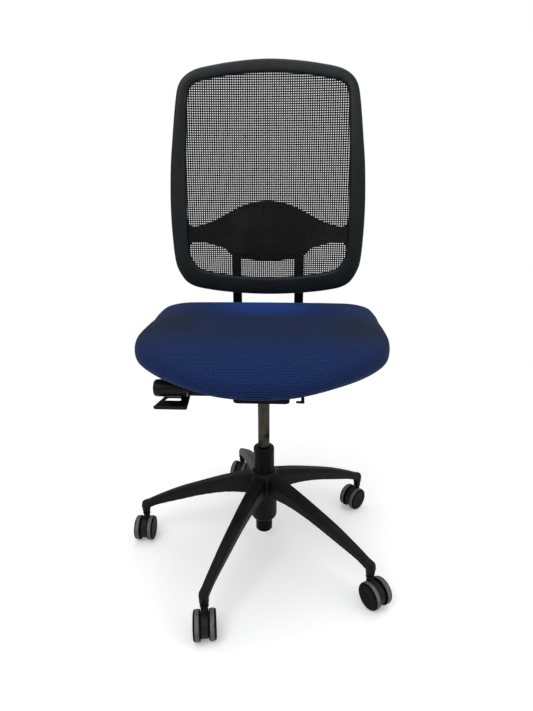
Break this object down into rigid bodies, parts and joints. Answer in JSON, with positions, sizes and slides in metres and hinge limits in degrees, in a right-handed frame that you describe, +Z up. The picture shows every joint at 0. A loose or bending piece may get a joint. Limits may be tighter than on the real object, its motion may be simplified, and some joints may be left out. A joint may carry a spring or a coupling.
{
  "type": "swivel office chair",
  "caption": "Swivel task chair: five-arm base on twin-wheel casters, gas lift, tilting upholstered seat and a height-adjustable mesh back with a framed lumbar beam.",
  "frame": {"origin": "middle of the chair's bounding box footprint, on the floor under the casters", "axes": "+Z up from the floor, -Y towards the side the sitter faces, +X to the sitter's left"},
  "size_m": [0.6142, 0.6489, 1.146],
  "materials": {
    "base_nylon": "fine grained black glass-filled nylon",
    "back_shell": "grained dark grey moulding",
    "control_plastic": "satin black plastic",
    "black_steel": "satin black powder coat",
    "bright_steel": "turned, lightly oiled",
    "dark_chrome": "dark ground steel with grease marks",
    "tread_rubber": "matt grey soft tread",
    "seat_fabric": "blue three-dimensional spacer fabric, worn and dusty",
    "back_netting": "open square black netting"
  },
  "bodies": {
    "base": {"star_base": "base_nylon", "column_tube": "black_steel", "guide_bushing": "base_nylon", "thrust_bearing": "bright_steel", "caster_stem_rear_left": "bright_steel", "caster_stem_rear": "bright_steel", "caster_stem_right": "bright_steel", "caster_stem_front_right": "bright_steel", "caster_stem_front_left": "bright_steel"},
    "spindle": {"gas_spring_rod": "bright_steel", "retaining_clip": "bright_steel"},
    "lift": {"gas_cylinder": "dark_chrome", "mechanism_housing": "black_steel", "back_pivot_shaft": "bright_steel", "seat_pivot_shaft": "bright_steel", "tension_spring": "bright_steel"},
    "release_pin": {"release_pin": "bright_steel"},
    "tension_knob": {"tension_knob": "control_plastic"},
    "height_lever": {"height_lever": "control_plastic"},
    "tilt_lock_lever": {"tilt_lock_lever": "control_plastic"},
    "seat": {"seat_carrier": "black_steel", "seat_pan": "base_nylon", "seat_cushion": "seat_fabric"},
    "back_arm": {"back_yoke": "black_steel", "back_upright_left": "black_steel", "back_upright_right": "black_steel"},
    "backrest": {"back_carrier": "back_shell", "back_frame": "back_shell", "back_bezel": "back_shell", "back_mesh": "back_netting"},
    "caster_rear_left": {"caster_housing_rear_left": "base_nylon", "caster_axle_rear_left": "bright_steel"},
    "wheel_rear_left_a": {"wheel_disc_rear_left_a": "base_nylon", "wheel_tread_rear_left_a": "tread_rubber"},
    "wheel_rear_left_b": {"wheel_disc_rear_left_b": "base_nylon", "wheel_tread_rear_left_b": "tread_rubber"},
    "caster_rear": {"caster_housing_rear": "base_nylon", "caster_axle_rear": "bright_steel"},
    "wheel_rear_a": {"wheel_disc_rear_a": "base_nylon", "wheel_tread_rear_a": "tread_rubber"},
    "wheel_rear_b": {"wheel_disc_rear_b": "base_nylon", "wheel_tread_rear_b": "tread_rubber"},
    "caster_right": {"caster_housing_right": "base_nylon", "caster_axle_right": "bright_steel"},
    "wheel_right_a": {"wheel_disc_right_a": "base_nylon", "wheel_tread_right_a": "tread_rubber"},
    "wheel_right_b": {"wheel_disc_right_b": "base_nylon", "wheel_tread_right_b": "tread_rubber"},
    "caster_front_right": {"caster_housing_front_right": "base_nylon", "caster_axle_front_right": "bright_steel"},
    "wheel_front_right_a": {"wheel_disc_front_right_a": "base_nylon", "wheel_tread_front_right_a": "tread_rubber"},
    "wheel_front_right_b": {"wheel_disc_front_right_b": "base_nylon", "wheel_tread_front_right_b": "tread_rubber"},
    "caster_front_left": {"caster_housing_front_left": "base_nylon", "caster_axle_front_left": "bright_steel"},
    "wheel_front_left_a": {"wheel_disc_front_left_a": "base_nylon", "wheel_tread_front_left_a": "tread_rubber"},
    "wheel_front_left_b": {"wheel_disc_front_left_b": "base_nylon", "wheel_tread_front_left_b": "tread_rubber"}
  },
  "joints": [
    {"name": "seat_swivel", "type": "hinge", "parent": "base", "child": "spindle", "pos_m": [0.02208, 0.01359, 0.114], "axis": [0, 0, 1], "continuous": true},
    {"name": "seat_height", "type": "slide", "parent": "spindle", "child": "lift", "axis": [0, 0, 1], "range_m": [-0.115, 0.005]},
    {"name": "height_lever_pull", "type": "hinge", "parent": "lift", "child": "height_lever", "pos_m": [0.02208, -0.0194, 0.44], "axis": [-1, 0, 0], "range_deg": [0, 8], "stiffness_Nm_per_rad": 1.5},
    {"name": "release_pin_press", "type": "slide", "parent": "lift", "child": "release_pin", "axis": [0, 0, -1], "range_m": [0, 0.0052]},
    {"name": "tension_knob_turn", "type": "hinge", "parent": "lift", "child": "tension_knob", "pos_m": [-0.17792, -0.0484, 0.441], "axis": [-1, 0, 0], "range_deg": [0, 720]},
    {"name": "tilt_lock_flip", "type": "hinge", "parent": "lift", "child": "tilt_lock_lever", "pos_m": [0.10208, -0.02641, 0.45], "axis": [-1, 0, 0], "range_deg": [0, 20]},
    {"name": "back_recline", "type": "hinge", "parent": "lift", "child": "back_arm", "pos_m": [0.02208, 0.0436, 0.45], "axis": [-1, 0, 0], "range_deg": [0, 18], "stiffness_Nm_per_rad": 80, "springref_deg": -20.05},
    {"name": "seat_tilt", "type": "hinge", "parent": "lift", "child": "seat", "pos_m": [0.02208, -0.0744, 0.462], "axis": [-1, 0, 0], "range_deg": [0, 7]},
    {"name": "back_height", "type": "slide", "parent": "back_arm", "child": "backrest", "axis": [0, 0, 1], "range_m": [0, 0.06]},
    {"name": "caster_swivel_rear_left", "type": "hinge", "parent": "base", "child": "caster_rear_left", "pos_m": [0.27687, 0.18288, 0.06], "axis": [0, 0, 1], "continuous": true},
    {"name": "wheel_roll_rear_left_a", "type": "hinge", "parent": "caster_rear_left", "child": "wheel_rear_left_a", "pos_m": [0.25228, 0.17983, 0.03], "axis": [0.7314, -0.682, 0], "continuous": true},
    {"name": "wheel_roll_rear_left_b", "type": "hinge", "parent": "caster_rear_left", "child": "wheel_rear_left_b", "pos_m": [0.27554, 0.15814, 0.03], "axis": [0.7314, -0.682, 0], "continuous": true},
    {"name": "caster_swivel_rear", "type": "hinge", "parent": "base", "child": "caster_rear", "pos_m": [-0.06018, 0.30823, 0.06], "axis": [0, 0, 1], "continuous": true},
    {"name": "wheel_roll_rear_a", "type": "hinge", "parent": "caster_rear", "child": "wheel_rear_a", "pos_m": [-0.08082, 0.29452, 0.03], "axis": [0.9588, -0.284, 0], "continuous": true},
    {"name": "wheel_roll_rear_b", "type": "hinge", "parent": "caster_rear", "child": "wheel_rear_b", "pos_m": [-0.05033, 0.28549, 0.03], "axis": [0.9588, -0.284, 0], "continuous": true},
    {"name": "caster_swivel_right", "type": "hinge", "parent": "base", "child": "caster_right", "pos_m": [-0.28355, 0.02641, 0.06], "axis": [0, 0, 1], "continuous": true},
    {"name": "wheel_roll_right_a", "type": "hinge", "parent": "caster_right", "child": "wheel_right_a", "pos_m": [-0.29945, 0.00741, 0.03], "axis": [1, 0, 0], "continuous": true},
    {"name": "wheel_roll_right_b", "type": "hinge", "parent": "caster_right", "child": "wheel_right_b", "pos_m": [-0.26765, 0.00741, 0.03], "axis": [1, 0, 0], "continuous": true},
    {"name": "caster_swivel_front_right", "type": "hinge", "parent": "base", "child": "caster_front_right", "pos_m": [-0.08455, -0.27312, 0.06], "axis": [0, 0, 1], "continuous": true},
    {"name": "wheel_roll_front_right_a", "type": "hinge", "parent": "caster_front_right", "child": "wheel_front_right_a", "pos_m": [-0.09728, -0.29437, 0.03], "axis": [0.9877, 0.1564, 0], "continuous": true},
    {"name": "wheel_roll_front_right_b", "type": "hinge", "parent": "caster_front_right", "child": "wheel_front_right_b", "pos_m": [-0.06587, -0.2894, 0.03], "axis": [0.9877, 0.1564, 0], "continuous": true},
    {"name": "caster_swivel_front_left", "type": "hinge", "parent": "base", "child": "caster_front_left", "pos_m": [0.26181, -0.17641, 0.06], "axis": [0, 0, 1], "continuous": true},
    {"name": "wheel_roll_front_left_a", "type": "hinge", "parent": "caster_front_left", "child": "wheel_front_left_a", "pos_m": [0.25926, -0.20106, 0.03], "axis": [0.829, 0.5592, 0], "continuous": true},
    {"name": "wheel_roll_front_left_b", "type": "hinge", "parent": "caster_front_left", "child": "wheel_front_left_b", "pos_m": [0.28562, -0.18327, 0.03], "axis": [0.829, 0.5592, 0], "continuous": true}
  ],
  "couplings": [
    {"joint": "release_pin_press", "follows": "height_lever_pull", "m_per_rad": 0.03724},
    {"joint": "seat_tilt", "follows": "back_recline", "ratio": 0.388}
  ]
}
